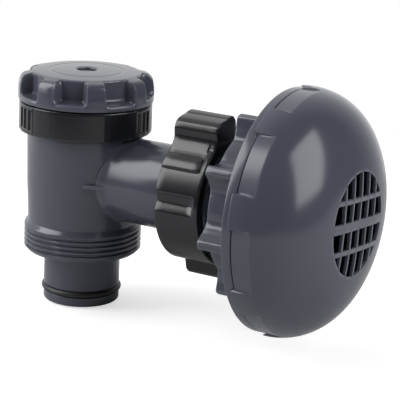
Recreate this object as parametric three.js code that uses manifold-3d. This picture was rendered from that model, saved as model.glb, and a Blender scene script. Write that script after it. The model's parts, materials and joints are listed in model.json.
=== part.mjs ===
// Pool plunger valve with its through-wall strainer.
// Millimetres. +Z runs up the valve stem, +X along the strainer axis into the pool.
// The origin is on the strainer axis, on the wall side of the flange.
import * as THREE from "three";
import { mergeVertices } from "three/addons/utils/BufferGeometryUtils.js";
import Module from "manifold-3d";

const wasm = await Module();
wasm.setup();

// Fits
const seatGap = 0.3; // between pieces that rest on each other
const slideGap = 0.25; // radial, round pieces that slide or turn
const threadGap = 0.5; // radial, stands for each screw thread

// Wall fitting, along X
const flangeThickness = 5.0;
const tailLength = 42.4; // from the flange's wall face to the tailpiece's end
const tailRadius = 27.2;
const tailWall = 8.8;
const gasketThickness = 1.2;
const gasketWidth = 16;
const poolWall = 0.6;
const slipWasherThickness = 1.2;
const nutLength = 15.1;
const nutHubRadius = 37;
const nutToothHeight = 9.3;
const nutToothCount = 8;
const nutToothBase = 15;
const nutToothTip = 5;
const nutToothAngle = 13.8; // first tooth, from +Z towards -Y

// Strainer dome
const domeRadius = 60.5;
const domeRibStand = 1.3; // how far the ribs between the cut-aways stand past the flange
const domeHeight = 35.8;
const domeWall = 2.4;
const domeLip = 1.4; // how far the ribs reach over the flange's edge
const domeLipWall = 1.0;
const snapRingHeight = 4;
const snapRingWall = 2.4;
const windowCount = 8;
const windowSweep = 30; // degrees
const windowAngle = 10.5; // middle of the first cut-away, from +Z towards -Y
const windowReach = 14;
const grilleRadius = 24.9;
const grilleTurn = 4.7; // degrees about X
const slotPitch = 7.8;
const slotBar = 1.2;
const rowPitch = 12;
const rowBar = 2.2;
const middleBar = 4.4;

// Union
const washerThickness = 2.0;
const washerSpigot = 4.5;
const washerWall = 2.4;
const collarThickness = 2.7;
const slipRingThickness = 1.3;
const unionLength = 23.8;
const unionEndWall = 2.4;
const unionWall = 4.9;
const unionPadHeight = 0.9;
const unionPadLength = 20.3; // the grooves' too
const unionGrooveDepth = 2.2;
const unionLobeRadius = 41.7;
const unionLobeSweep = 25; // degrees
const unionLobeAngle = 12.5; // middle of the first lobe, from +Z towards -Y

// Valve body
const valveOffset = 114.5; // stem axis to the flange's wall face
const barrelRadius = 28.1;
const barrelWall = 2.8;
const barrelTop = 29.5; // above the port's axis
const barrelBelow = 25; // below the port's axis, down to the hose thread
const barrelDraft = 0.9; // how much wider the barrel is just below the lock ring
const barrelShoulderGap = 0.5; // between that shoulder and the lock ring
const seatFloor = 3;
const portRadius = 21.2;
const portWall = 2.8;
const hoseThreadRadius = 29.8;
const hoseThreadLength = 15.4;
const hoseThreadShoulder = 3.3; // plain part above the first groove
const hoseThreadPitch = 2.55;
const hoseThreadDepth = 1.2;
const hoseThreadTurns = 4;
const hoseThreadEase = 2; // height of the slope at its top
const nippleRadius = 19.2;
const nippleWall = 3.6;
const nippleLength = 26.45;
const nippleRingFromEnd = 6.55;
const nippleRingSection = 3;
const ringStand = 1.2; // how far the O-ring stands out of the nipple

// Bonnet, lock ring and knob
const bonnetThickness = 3.6;
const bonnetSpigot = 7.4;
const bonnetSpigotWall = 4.2;
const bonnetRingSection = 2.6;
const hubWall = 2.3;
const hubBelow = 6.5;
const hubAbove = 7.6;
const glandRingHeight = 1.9;
const stemRingSection = 2.4;
const lockRingWall = 4.9;
const lockRingHeight = 14.4;
const lockRingLip = 2.8;
const lockRingHole = 20;
const knobRadius = 34;
const knobGap = 0.7; // above the lock ring
const knobHeight = 15.3;
const knobWall = 3.2;
const knobPocketCount = 8;
const knobPocketSweep = 28; // degrees
const knobPocketAngle = 20.3; // middle of the first pocket, from +X towards +Y
const knobPocketDepth = 7;
const knobLip = 3.4;
const knobHubWall = 4.5;
const knobRecessRadius = 5;
const knobRecessDepth = 4.9;
const knobWeb = 2.4;

// Stem and plunger
const stemRadius = 6;
const plungerLand = 5.9; // how far the head reaches past the outlet's edge
const plungerHeight = 10;
const sealThickness = 2.8;
const sealWidth = 8.9;
const sealLand = 4.3; // how far the seal reaches past the outlet's edge
const retainerFlange = 2.2;
const screwShank = 1.9;
const screwHead = 3.9;
const screwHeadHeight = 2.4;
const stemEngagement = 6;
const clipThickness = 1.4;
const clipWidth = 2.9;
const clipReach = 5;

// Sizes that follow from the ones above
const flangeRadius = domeRadius - domeRibStand;
const boreRadius = tailRadius - tailWall;
const barrelBore = barrelRadius - barrelWall;
const portBore = portRadius - portWall;
const outletBore = nippleRadius - nippleWall;
const seatHeight = seatFloor - barrelBelow;
const hoseThreadTop = -barrelBelow;
const hoseThreadBottom = hoseThreadTop - hoseThreadLength;
const nippleEnd = hoseThreadBottom - nippleLength;
const nippleRingHeight = nippleEnd + nippleRingFromEnd;
const gasketInnerFace = -seatGap;
const wallFace = gasketInnerFace - gasketThickness;
const gasketOuterFace = wallFace - poolWall;
const slipWasherFace = gasketOuterFace - gasketThickness - seatGap;
const nutFace = slipWasherFace - slipWasherThickness - seatGap;
const washerFace = -tailLength - seatGap;
const collarFace = washerFace - washerThickness - seatGap;
const collarBack = collarFace - collarThickness;
const slipRingFace = collarBack - seatGap;
const unionShoulder = slipRingFace - slipRingThickness - seatGap;
const unionBack = unionShoulder - unionEndWall;
const unionFront = unionBack + unionLength;
const unionBore = tailRadius + threadGap;
const unionRadius = unionBore + unionWall;
const collarRadius = tailRadius - 0.3;
const bonnetBottom = barrelTop + seatGap;
const bonnetTop = bonnetBottom + bonnetThickness;
const hubTop = bonnetTop + hubAbove;
const hubBottom = bonnetBottom - hubBelow;
const stemBore = stemRadius + slideGap;
const stemGroove = stemRadius + stemRingSection + 0.3;
const hubRadius = stemGroove + hubWall;
const lockRingRadius = barrelRadius + threadGap + lockRingWall;
const lockRingTop = bonnetTop + seatGap + lockRingLip;
const lockRingBottom = lockRingTop - lockRingHeight;
const knobBottom = lockRingTop + knobGap;
const knobHubRadius = stemRadius + knobHubWall;
const plungerRadius = outletBore + plungerLand;
const sealOuter = outletBore + sealLand;
const sealInner = sealOuter - sealWidth;
const knobTop = knobBottom + knobHeight;
const recessFloor = knobTop - knobRecessDepth;
const socketTop = recessFloor - knobWeb;
const stemTop = socketTop - seatGap;
const sealBottom = seatHeight + seatGap;
const headBottom = sealBottom + sealThickness + seatGap;
const headTop = headBottom + plungerHeight;
const stemBottom = headTop - stemEngagement;
const clipHeight = stemBottom + 2.2;
const roundSides = 32;
const smallSides = 16;
const ringSides = 6;

const colours = {
  greyPlastic: { color: 0x5c5e68, roughness: 0.42, metalness: 0 },
  blackPlastic: { color: 0x1d1e21, roughness: 0.3, metalness: 0 },
  rubber: { color: 0x141416, roughness: 0.7, metalness: 0 },
  hardWasher: { color: 0xd8d8d2, roughness: 0.5, metalness: 0 },
  steel: { color: 0xb9bcc0, roughness: 0.3, metalness: 1 },
};

// Shapes

function place(geometry, turn, move) {
  geometry.applyMatrix4(new THREE.Matrix4().makeRotationFromEuler(turn));
  geometry.translate(move.x, move.y, move.z);
  return geometry;
}

// A turned piece about the stem axis: the outline holds [radius, height] points.
function turnedUp(outline, sides = roundSides, axisX = -valveOffset) {
  const points = outline.map(([radius, height]) => new THREE.Vector2(radius, height));
  const geometry = new THREE.LatheGeometry(points, sides);
  return place(geometry, new THREE.Euler(Math.PI / 2, 0, 0), new THREE.Vector3(axisX, 0, 0));
}

// A turned piece about the strainer axis: the outline holds [radius, x] points.
function turnedAlong(outline, sides = roundSides) {
  const points = outline.map(([radius, x]) => new THREE.Vector2(radius, x));
  const geometry = new THREE.LatheGeometry(points, sides);
  return place(geometry, new THREE.Euler(0, 0, -Math.PI / 2), new THREE.Vector3());
}

function tube(turned, inner, outer, low, high, sides = roundSides) {
  const outline = [[inner, low], [outer, low], [outer, high], [inner, high], [inner, low]];
  return turned(outline, sides);
}

function rod(turned, radius, low, high, sides = roundSides) {
  return turned([[0, low], [radius, low], [radius, high], [0, high]], sides);
}

// A round rubber ring about the stem axis.
function ringUp(middle, section, height) {
  const turn = new THREE.TorusGeometry(middle, section / 2, ringSides, roundSides);
  return turn.translate(-valveOffset, 0, height);
}

// A flat outline in the YZ plane, given as [angle from +Z towards -Y, radius], drawn along X.
function profileAlong(corners, low, high) {
  const shape = new THREE.Shape(
    corners.map(([angle, radius]) => {
      const turn = THREE.MathUtils.degToRad(angle);
      return new THREE.Vector2(radius * Math.sin(turn), radius * Math.cos(turn));
    }),
  );
  const geometry = new THREE.ExtrudeGeometry(shape, { depth: high - low, bevelEnabled: false });
  const basis = new THREE.Matrix4().makeBasis(
    new THREE.Vector3(0, -1, 0),
    new THREE.Vector3(0, 0, 1),
    new THREE.Vector3(-1, 0, 0),
  );
  geometry.applyMatrix4(basis);
  return geometry.translate(high, 0, 0);
}

function sectorAlong(middle, sweep, inner, outer, low, high) {
  const steps = 4;
  const corners = [];
  for (let i = 0; i <= steps; i += 1) {
    corners.push([middle - sweep / 2 + (sweep * i) / steps, outer]);
  }
  for (let i = steps; i >= 0; i -= 1) {
    corners.push([middle - sweep / 2 + (sweep * i) / steps, inner]);
  }
  return profileAlong(corners, low, high);
}

// Joining and cutting

function solid(geometry) {
  const bare = geometry.index ? geometry.toNonIndexed() : geometry.clone();
  bare.deleteAttribute("normal");
  bare.deleteAttribute("uv");
  const merged = mergeVertices(bare, 1e-4);
  const corners = merged.index.array;
  const kept = [];
  for (let i = 0; i < corners.length; i += 3) {
    const [a, b, c] = [corners[i], corners[i + 1], corners[i + 2]];
    if (a !== b && b !== c && a !== c) {
      kept.push(a, b, c);
    }
  }
  const vertProperties = new Float32Array(merged.attributes.position.array);
  const made = new wasm.Manifold(
    new wasm.Mesh({ numProp: 3, vertProperties, triVerts: new Uint32Array(kept) }),
  );
  return made;
}

function geometryOf(body) {
  const mesh = body.getMesh();
  const geometry = new THREE.BufferGeometry();
  geometry.setAttribute("position", new THREE.BufferAttribute(mesh.vertProperties, 3));
  geometry.setIndex(new THREE.BufferAttribute(mesh.triVerts, 1));
  return geometry;
}

function join(...geometries) {
  return geometryOf(geometries.map(solid).reduce((all, next) => all.add(next)));
}

function cut(geometry, ...tools) {
  return geometryOf(tools.map(solid).reduce((all, next) => all.subtract(next), solid(geometry)));
}

function cutAll(geometry, tools) {
  return cut(geometry, ...tools);
}

// Wall fitting

function strainerConnector() {
  const snapOuter = domeRadius - domeWall - domeLipWall - 0.2;
  const snapTop = flangeThickness + snapRingHeight;
  return turnedAlong([
    [boreRadius, -tailLength],
    [tailRadius - 0.8, -tailLength],
    [tailRadius, -tailLength + 0.8],
    [tailRadius, 0],
    [flangeRadius, 0],
    [flangeRadius, flangeThickness],
    [snapOuter, flangeThickness],
    [snapOuter, snapTop],
    [snapOuter - snapRingWall, snapTop],
    [snapOuter - snapRingWall, flangeThickness],
    [boreRadius, flangeThickness],
    [boreRadius, -tailLength],
  ]);
}

function wallGasket(face) {
  const inner = tailRadius + threadGap;
  return tube(turnedAlong, inner, inner + gasketWidth, face - gasketThickness, face);
}

function nutSlipWasher() {
  const inner = tailRadius + threadGap;
  return tube(turnedAlong, inner, nutHubRadius, slipWasherFace - slipWasherThickness, slipWasherFace);
}

function strainerNut() {
  const back = nutFace - nutLength;
  const hub = tube(turnedAlong, tailRadius + threadGap, nutHubRadius, back, nutFace);
  const inside = nutHubRadius - 1.5;
  const outside = nutHubRadius + nutToothHeight;
  const sweepAt = (width, radius) => THREE.MathUtils.radToDeg(width / radius);
  const teeth = [];
  for (let i = 0; i < nutToothCount; i += 1) {
    const middle = nutToothAngle + (360 * i) / nutToothCount;
    const base = sweepAt(nutToothBase, nutHubRadius) / 2;
    const waist = sweepAt(nutToothTip * 1.35, nutHubRadius + nutToothHeight * 0.6) / 2;
    const tip = sweepAt(nutToothTip, outside) / 2;
    const rise = nutHubRadius + nutToothHeight * 0.6;
    const outline = [
      [middle - base, inside],
      [middle - base, nutHubRadius],
      [middle - waist, rise],
      [middle - tip, outside - 0.8],
      [middle - tip * 0.5, outside],
      [middle + tip * 0.5, outside],
      [middle + tip, outside - 0.8],
      [middle + waist, rise],
      [middle + base, nutHubRadius],
      [middle + base, inside],
    ];
    teeth.push(profileAlong(outline, back, nutFace));
  }
  return join(hub, ...teeth);
}

// Strainer dome

function domeOutline(radius, height, steps) {
  const points = [];
  for (let i = 0; i <= steps; i += 1) {
    const part = (i / steps) * (Math.PI / 2);
    const x = flangeThickness + seatGap + height * Math.sin(part) ** 0.963;
    points.push([radius * Math.cos(part) ** 0.692, x]);
  }
  points[steps][0] = 0;
  return points;
}

function domeShell() {
  const rim = flangeThickness + seatGap;
  const lipEnd = flangeThickness - domeLip;
  const outside = domeOutline(domeRadius, domeHeight, 11);
  const inside = domeOutline(domeRadius - domeWall, domeHeight - domeWall, 7).reverse();
  const lip = [
    [domeRadius - domeLipWall, rim],
    [domeRadius - domeLipWall, lipEnd],
    [domeRadius, lipEnd],
  ];
  return turnedAlong([...inside, ...lip, ...outside]);
}

function grilleSlots() {
  const slots = [];
  const deep = domeHeight * 0.5;
  const low = flangeThickness + domeHeight - deep;
  for (const row of [-2, -1, 1, 2]) {
    const side = Math.sign(row);
    const start = Math.abs(row) === 1 ? middleBar / 2 : rowPitch + rowBar / 2;
    const end = Math.abs(row) === 1 ? rowPitch - rowBar / 2 : grilleRadius;
    for (let column = -3; column < 3; column += 1) {
      const left = column === -3 ? -grilleRadius : column * slotPitch + slotBar / 2;
      const right = column === 2 ? grilleRadius : (column + 1) * slotPitch - slotBar / 2;
      const box = new THREE.BoxGeometry(deep * 2, right - left, end - start);
      slots.push(box.translate(low + deep, (left + right) / 2, side * (start + end) * 0.5));
    }
  }
  const round = rod(turnedAlong, grilleRadius, low, low + deep * 2);
  const all = slots.map(solid).reduce((one, next) => one.add(next)).intersect(solid(round));
  return geometryOf(all).rotateX(-THREE.MathUtils.degToRad(grilleTurn));
}

function strainerDome() {
  const tools = [];
  for (let i = 0; i < windowCount; i += 1) {
    const middle = windowAngle + (360 * i) / windowCount;
    const high = flangeThickness + windowReach;
    tools.push(sectorAlong(middle, windowSweep, flangeRadius, domeRadius + 6, 0, high));
  }
  return cutAll(domeShell(), [...tools, grilleSlots()]);
}

// Union

function unionStepWasher() {
  const outer = boreRadius - slideGap;
  const spigot = washerFace + seatGap + washerSpigot;
  return turnedAlong([
    [outer - washerWall, washerFace - washerThickness],
    [collarRadius, washerFace - washerThickness],
    [collarRadius, washerFace],
    [outer, washerFace],
    [outer, spigot],
    [outer - washerWall, spigot],
    [outer - washerWall, washerFace - washerThickness],
  ]);
}

function unionSlipRing() {
  const inner = portRadius + slideGap;
  return tube(turnedAlong, inner, collarRadius, slipRingFace - slipRingThickness, slipRingFace);
}

function unionNut() {
  const core = turnedAlong([
    [portRadius + slideGap, unionBack],
    [unionRadius - 1.5, unionBack],
    [unionRadius, unionBack + 1.5],
    [unionRadius, unionFront],
    [unionBore, unionFront],
    [unionBore, unionShoulder],
    [portRadius + slideGap, unionShoulder],
    [portRadius + slideGap, unionBack],
  ]);
  const inside = unionBore + 1;
  const padTop = unionRadius + unionPadHeight;
  const pieces = [];
  const grooves = [];
  for (const turn of [0, 180]) {
    const lobe = unionLobeAngle + turn;
    const half = unionLobeSweep / 2;
    const outline = [
      [lobe - half - 10, inside],
      [lobe - half - 6, unionRadius + 1.2],
      [lobe - half + 1, unionRadius + 4.5],
      [lobe - half, unionLobeRadius - 3.2],
      [lobe - half + 4, unionLobeRadius],
      [lobe + half - 4, unionLobeRadius],
      [lobe + half, unionLobeRadius - 3.2],
      [lobe + half - 1, unionRadius + 4.5],
      [lobe + half + 6, unionRadius + 1.2],
      [lobe + half + 10, inside],
    ];
    pieces.push(profileAlong(outline, unionBack, unionFront));
    pieces.push(sectorAlong(lobe + 38, 13, inside, padTop, unionBack, unionBack + unionPadLength));
    const floor = unionRadius - unionGrooveDepth;
    grooves.push(sectorAlong(lobe + 74, 15, floor, padTop + 2, unionBack - 1, unionBack + unionPadLength));
  }
  const bore = rod(turnedAlong, unionBore, unionShoulder, unionFront + 1);
  return cut(join(core, ...pieces), bore, ...grooves);
}

// Valve body

function hoseThread() {
  const core = nippleRadius - 1;
  const outline = [[core, hoseThreadTop], [core, hoseThreadBottom]];
  outline.push([hoseThreadRadius - 1.2, hoseThreadBottom]);
  outline.push([hoseThreadRadius, hoseThreadBottom + 1.2]);
  const first = hoseThreadTop - hoseThreadShoulder - hoseThreadPitch * (hoseThreadTurns - 1);
  for (let i = 0; i < hoseThreadTurns; i += 1) {
    const z = first + i * hoseThreadPitch;
    outline.push([hoseThreadRadius, z - hoseThreadPitch * 0.35]);
    outline.push([hoseThreadRadius - hoseThreadDepth, z]);
    outline.push([hoseThreadRadius, z + hoseThreadPitch * 0.35]);
  }
  outline.push([hoseThreadRadius, hoseThreadTop - hoseThreadEase]);
  outline.push([barrelRadius, hoseThreadTop]);
  outline.push([core, hoseThreadTop]);
  return turnedUp(outline);
}

function valveBody() {
  const grooveFloor = nippleRadius + ringStand - nippleRingSection - 0.15;
  const grooveHalf = nippleRingSection / 2 + 0.3;
  const shoulder = lockRingBottom - barrelShoulderGap;
  const barrel = turnedUp([
    [0, nippleEnd],
    [nippleRadius - 0.8, nippleEnd],
    [nippleRadius, nippleEnd + 0.8],
    [nippleRadius, nippleRingHeight - grooveHalf],
    [grooveFloor, nippleRingHeight - grooveHalf],
    [grooveFloor, nippleRingHeight + grooveHalf],
    [nippleRadius, nippleRingHeight + grooveHalf],
    [nippleRadius, hoseThreadTop],
    [barrelRadius, hoseThreadTop],
    [barrelRadius + barrelDraft, shoulder],
    [barrelRadius, shoulder],
    [barrelRadius, barrelTop],
    [0, barrelTop],
  ]);
  const port = rod(turnedAlong, portRadius, -valveOffset, collarFace);
  const collar = rod(turnedAlong, collarRadius, collarBack, collarFace);
  const chamber = rod(turnedUp, barrelBore, seatHeight, barrelTop + 1);
  const outlet = rod(turnedUp, outletBore, nippleEnd - 1, seatHeight + 1);
  const branch = rod(turnedAlong, portBore, -valveOffset, collarFace + 1);
  return cut(join(barrel, hoseThread(), port, collar), chamber, outlet, branch);
}

function nippleRing() {
  const middle = nippleRadius + ringStand - nippleRingSection / 2;
  return ringUp(middle, nippleRingSection, nippleRingHeight);
}

// Bonnet and lock ring

function grooveAt(height) {
  const half = stemRingSection / 2 + 0.2;
  return [[stemBore, height - half], [stemGroove, height - half], [stemGroove, height + half], [stemBore, height + half]];
}

const lowerRingHeight = hubBottom + 4.4;
const upperRingHeight = lowerRingHeight + 6;
const spigotBottom = bonnetBottom - bonnetSpigot;
const bonnetRingHeight = spigotBottom + 3.2;
const bonnetRadius = barrelRadius - 0.1;

function bonnet() {
  const spigot = barrelBore - slideGap;
  const half = bonnetRingSection / 2 + 0.2;
  const floor = barrelBore - 0.1 - bonnetRingSection - 0.15;
  const gland = hubTop - glandRingHeight - seatGap;
  return turnedUp([
    [stemBore, hubBottom],
    [hubRadius, hubBottom],
    [hubRadius, bonnetBottom],
    [spigot - bonnetSpigotWall, bonnetBottom],
    [spigot - bonnetSpigotWall, spigotBottom],
    [spigot, spigotBottom],
    [spigot, bonnetRingHeight - half],
    [floor, bonnetRingHeight - half],
    [floor, bonnetRingHeight + half],
    [spigot, bonnetRingHeight + half],
    [spigot, bonnetBottom],
    [bonnetRadius, bonnetBottom],
    [bonnetRadius, bonnetTop],
    [hubRadius, bonnetTop],
    [hubRadius, hubTop],
    [stemGroove, hubTop],
    [stemGroove, gland],
    [stemBore, gland],
    ...grooveAt(upperRingHeight).reverse(),
    ...grooveAt(lowerRingHeight).reverse(),
    [stemBore, hubBottom],
  ]);
}

function bonnetRing() {
  const middle = barrelBore - 0.1 - bonnetRingSection / 2;
  return ringUp(middle, bonnetRingSection, bonnetRingHeight);
}

function stemRing(height) {
  return ringUp(stemRadius + 0.1 + stemRingSection / 2, stemRingSection, height);
}

function glandRing() {
  const low = hubTop - glandRingHeight;
  return tube(turnedUp, stemBore, stemGroove - 0.2, low, hubTop - 0.1, smallSides);
}

function lockRing() {
  const inner = barrelRadius + threadGap;
  const under = bonnetTop + seatGap;
  const top = lockRingTop;
  return turnedUp([
    [inner, lockRingBottom],
    [lockRingRadius - 1, lockRingBottom],
    [lockRingRadius, lockRingBottom + 1],
    [lockRingRadius, top - 0.8],
    [lockRingRadius - 0.8, top],
    [lockRingHole, top],
    [lockRingHole, under],
    [inner, under],
    [inner, lockRingBottom],
  ]);
}

// Knob, stem and plunger

function knobPockets() {
  const tools = [];
  const low = knobBottom + knobLip;
  const height = knobHeight - knobLip + 1; // opens the pockets at the top
  for (let i = 0; i < knobPocketCount; i += 1) {
    const turn = THREE.MathUtils.degToRad(knobPocketAngle + (360 * i) / knobPocketCount);
    const width = 2 * knobRadius * Math.sin(THREE.MathUtils.degToRad(knobPocketSweep / 2));
    const reach = knobPocketDepth + 4;
    const box = new THREE.BoxGeometry(reach, width, height);
    box.translate(knobRadius - knobPocketDepth + reach / 2, 0, low + height / 2);
    box.rotateZ(turn);
    tools.push(box.translate(-valveOffset, 0, 0));
  }
  return tools;
}

function knob() {
  const inner = knobRadius - knobPocketDepth - knobWall;
  const under = knobTop - knobWall;
  const shell = turnedUp([
    [0, socketTop],
    [knobHubRadius, socketTop],
    [knobHubRadius, under - 1],
    [inner, under - 1],
    [inner, knobBottom + 0.6],
    [inner + 0.6, knobBottom],
    [knobRadius - 0.8, knobBottom],
    [knobRadius, knobBottom + 0.8],
    [knobRadius, knobTop - 5],
    [knobRadius - 1.2, knobTop - 2.6],
    [knobRadius - 5.5, knobTop - 0.9],
    [knobRadius - 12, knobTop],
    [0, knobTop],
  ]);
  const hub = rod(turnedUp, knobHubRadius, hubTop + 0.5, under, smallSides);
  const socket = rod(turnedUp, stemRadius + 0.2, hubTop, socketTop, 6);
  const hole = rod(turnedUp, screwShank + 0.3, socketTop - 1, recessFloor + 1, smallSides);
  const recess = rod(turnedUp, knobRecessRadius, recessFloor, knobTop + 1, smallSides);
  const whole = join(shell, hub);
  return cut(whole, socket, hole, recess, ...knobPockets());
}

function knobWasher() {
  const low = recessFloor + 0.1;
  return tube(turnedUp, screwShank + 0.3, knobRecessRadius - 0.3, low, low + 0.8, smallSides);
}

function screw(turned, seat, headSide, shankLength) {
  const head = headSide * screwHeadHeight;
  const outline = [
    [0, seat - headSide * shankLength],
    [screwShank, seat - headSide * shankLength],
    [screwShank, seat],
    [screwHead, seat],
    [screwHead, seat + head * 0.7],
    [screwHead - 0.9, seat + head],
    [0, seat + head],
  ];
  return turned(headSide > 0 ? outline : outline.reverse(), smallSides);
}

function crossSlot(seat, headSide) {
  const middle = seat + headSide * screwHeadHeight;
  const bars = [new THREE.BoxGeometry(4.4, 1, 2), new THREE.BoxGeometry(1, 4.4, 2)];
  return bars.map((bar) => bar.translate(-valveOffset, 0, middle));
}

const knobScrewSeat = recessFloor + 1.2;
const knobScrewLength = 14;
const retainerBottom = seatHeight - retainerFlange;
const plungerScrewSeat = retainerBottom - 0.3;
const plungerScrewLength = 9.5;

function knobScrew() {
  return cut(screw(turnedUp, knobScrewSeat, 1, knobScrewLength), ...crossSlot(knobScrewSeat, 1));
}

function stem() {
  const neck = stemRadius - 1.4;
  const half = clipThickness / 2 + 0.3;
  const hexLow = hubTop + 0.1;
  const body = turnedUp([
    [0, stemBottom],
    [stemRadius - 0.6, stemBottom],
    [stemRadius, stemBottom + 0.6],
    [stemRadius, clipHeight - half],
    [neck, clipHeight - half],
    [neck, clipHeight + half],
    [stemRadius, clipHeight + half],
    [stemRadius, hexLow],
    [0, hexLow],
  ], smallSides);
  const hex = rod(turnedUp, stemRadius - 0.25, hexLow - 1, stemTop, 6);
  const hole = rod(turnedUp, screwShank + 0.2, knobScrewSeat - knobScrewLength - 1, stemTop + 1, smallSides);
  return cut(join(body, hex), hole);
}

function plungerHead() {
  const body = rod(turnedUp, plungerRadius, headBottom, headTop);
  const socket = rod(turnedUp, stemRadius + slideGap, stemBottom - seatGap, headTop + 1, smallSides);
  const tip = plungerScrewSeat + plungerScrewLength;
  const hole = rod(turnedUp, screwShank + 0.2, headBottom - 1, tip + 0.4, smallSides);
  const slotHalf = clipThickness / 2 + 0.3;
  const clipOuter = stemRadius - 1.1 + clipWidth;
  const slot = new THREE.BoxGeometry(plungerRadius + clipOuter + 1, clipOuter * 2 + 1, slotHalf * 2);
  slot.translate(-valveOffset - (plungerRadius - clipOuter - 1) / 2, 0, clipHeight);
  return cut(body, socket, hole, slot);
}

function stemClip() {
  const neck = stemRadius - 1.1;
  const outer = neck + clipWidth;
  const shape = new THREE.Shape();
  shape.moveTo(-outer - clipReach, -outer);
  shape.lineTo(0, -outer);
  shape.absarc(0, 0, outer, -Math.PI / 2, Math.PI / 2, false);
  shape.lineTo(-outer - clipReach, outer);
  shape.lineTo(-outer - clipReach, neck);
  shape.lineTo(0, neck);
  shape.absarc(0, 0, neck, Math.PI / 2, -Math.PI / 2, true);
  shape.lineTo(-outer - clipReach, -neck);
  const flat = new THREE.ExtrudeGeometry(shape, { depth: clipThickness, bevelEnabled: false, curveSegments: 8 });
  return flat.translate(-valveOffset, 0, clipHeight - clipThickness / 2);
}

function plungerSeal() {
  return tube(turnedUp, sealInner + 0.3, sealOuter, sealBottom, sealBottom + sealThickness);
}

function sealRetainer() {
  const shank = screwShank + 0.3;
  const top = headBottom - seatGap;
  return turnedUp([
    [shank, retainerBottom],
    [outletBore - 1.8, retainerBottom],
    [outletBore - 1.8, seatHeight],
    [sealInner, seatHeight],
    [sealInner, top],
    [shank, top],
    [shank, retainerBottom],
  ]);
}

function plungerScrew() {
  const body = screw(turnedUp, plungerScrewSeat, -1, plungerScrewLength);
  return cut(body, ...crossSlot(plungerScrewSeat, -1));
}

// The assembly

const pieces = [
  ["strainer_connector", strainerConnector(), "greyPlastic"],
  ["wall_gasket_inner", wallGasket(gasketInnerFace), "rubber"],
  ["wall_gasket_outer", wallGasket(gasketOuterFace), "rubber"],
  ["nut_slip_washer", nutSlipWasher(), "hardWasher"],
  ["strainer_nut", strainerNut(), "greyPlastic"],
  ["strainer_dome", strainerDome(), "greyPlastic"],
  ["union_step_washer", unionStepWasher(), "rubber"],
  ["union_slip_ring", unionSlipRing(), "hardWasher"],
  ["union_nut", unionNut(), "blackPlastic"],
  ["valve_body", valveBody(), "greyPlastic"],
  ["nipple_o_ring", nippleRing(), "rubber"],
  ["bonnet", bonnet(), "greyPlastic"],
  ["bonnet_o_ring", bonnetRing(), "rubber"],
  ["stem_o_ring_lower", stemRing(lowerRingHeight), "rubber"],
  ["stem_o_ring_upper", stemRing(upperRingHeight), "rubber"],
  ["gland_ring", glandRing(), "hardWasher"],
  ["lock_ring", lockRing(), "blackPlastic"],
  ["knob", knob(), "greyPlastic"],
  ["knob_washer", knobWasher(), "steel"],
  ["knob_screw", knobScrew(), "steel"],
  ["stem", stem(), "greyPlastic"],
  ["stem_clip", stemClip(), "steel"],
  ["plunger_head", plungerHead(), "greyPlastic"],
  ["plunger_seal", plungerSeal(), "rubber"],
  ["seal_retainer", sealRetainer(), "greyPlastic"],
  ["plunger_screw", plungerScrew(), "steel"],
];

const valve = new THREE.Group();
for (const [name, geometry, finish] of pieces) {
  const mesh = new THREE.Mesh(geometry, new THREE.MeshStandardMaterial(colours[finish]));
  mesh.name = name;
  valve.add(mesh);
}

export default valve;
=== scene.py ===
import json
import math
import bpy
import bmesh
from mathutils import Matrix, Vector

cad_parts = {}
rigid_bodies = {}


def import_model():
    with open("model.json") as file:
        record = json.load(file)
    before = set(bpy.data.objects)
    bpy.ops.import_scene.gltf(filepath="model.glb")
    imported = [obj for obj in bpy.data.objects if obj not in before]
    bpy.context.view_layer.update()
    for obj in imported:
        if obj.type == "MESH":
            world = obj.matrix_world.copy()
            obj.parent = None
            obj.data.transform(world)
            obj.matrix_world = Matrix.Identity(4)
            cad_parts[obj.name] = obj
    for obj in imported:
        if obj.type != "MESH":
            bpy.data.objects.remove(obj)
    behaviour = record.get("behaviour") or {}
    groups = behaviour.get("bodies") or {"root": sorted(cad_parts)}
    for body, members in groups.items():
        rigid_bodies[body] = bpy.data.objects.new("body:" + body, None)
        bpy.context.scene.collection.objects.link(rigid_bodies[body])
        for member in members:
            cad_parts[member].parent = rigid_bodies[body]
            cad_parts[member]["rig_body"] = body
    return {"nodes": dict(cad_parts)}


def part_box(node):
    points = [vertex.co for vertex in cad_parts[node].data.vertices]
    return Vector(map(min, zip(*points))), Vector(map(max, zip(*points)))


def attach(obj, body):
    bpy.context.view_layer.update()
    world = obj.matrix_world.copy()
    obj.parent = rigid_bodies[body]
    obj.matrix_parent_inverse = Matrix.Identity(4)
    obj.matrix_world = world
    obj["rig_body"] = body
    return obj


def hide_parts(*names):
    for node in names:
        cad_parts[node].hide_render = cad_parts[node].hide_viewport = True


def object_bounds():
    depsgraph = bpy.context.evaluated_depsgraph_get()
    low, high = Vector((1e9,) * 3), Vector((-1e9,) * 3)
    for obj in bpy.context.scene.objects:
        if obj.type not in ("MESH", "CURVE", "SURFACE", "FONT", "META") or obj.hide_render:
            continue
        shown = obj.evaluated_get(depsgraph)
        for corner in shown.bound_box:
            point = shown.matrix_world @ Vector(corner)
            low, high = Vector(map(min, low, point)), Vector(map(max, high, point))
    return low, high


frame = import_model()
cadLow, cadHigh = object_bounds()
print("frame loaded")

mm = 0.001
stemX = sum(corner.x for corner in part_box("stem")) / 2 / mm  # the stem's axis, in mm


# Shapes are drawn in mm as (across, along) round one of two axes: the stem's, where along is Z
# and angles run from +X to +Y, or the strainer's, where along is X and angles run from +Z to -Y.

def toSpace(about, angle, across, along):
    if about == "stem":
        return Vector((stemX + across * math.cos(angle), across * math.sin(angle), along)) * mm
    return Vector((along, -across * math.sin(angle), across * math.cos(angle))) * mm


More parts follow.
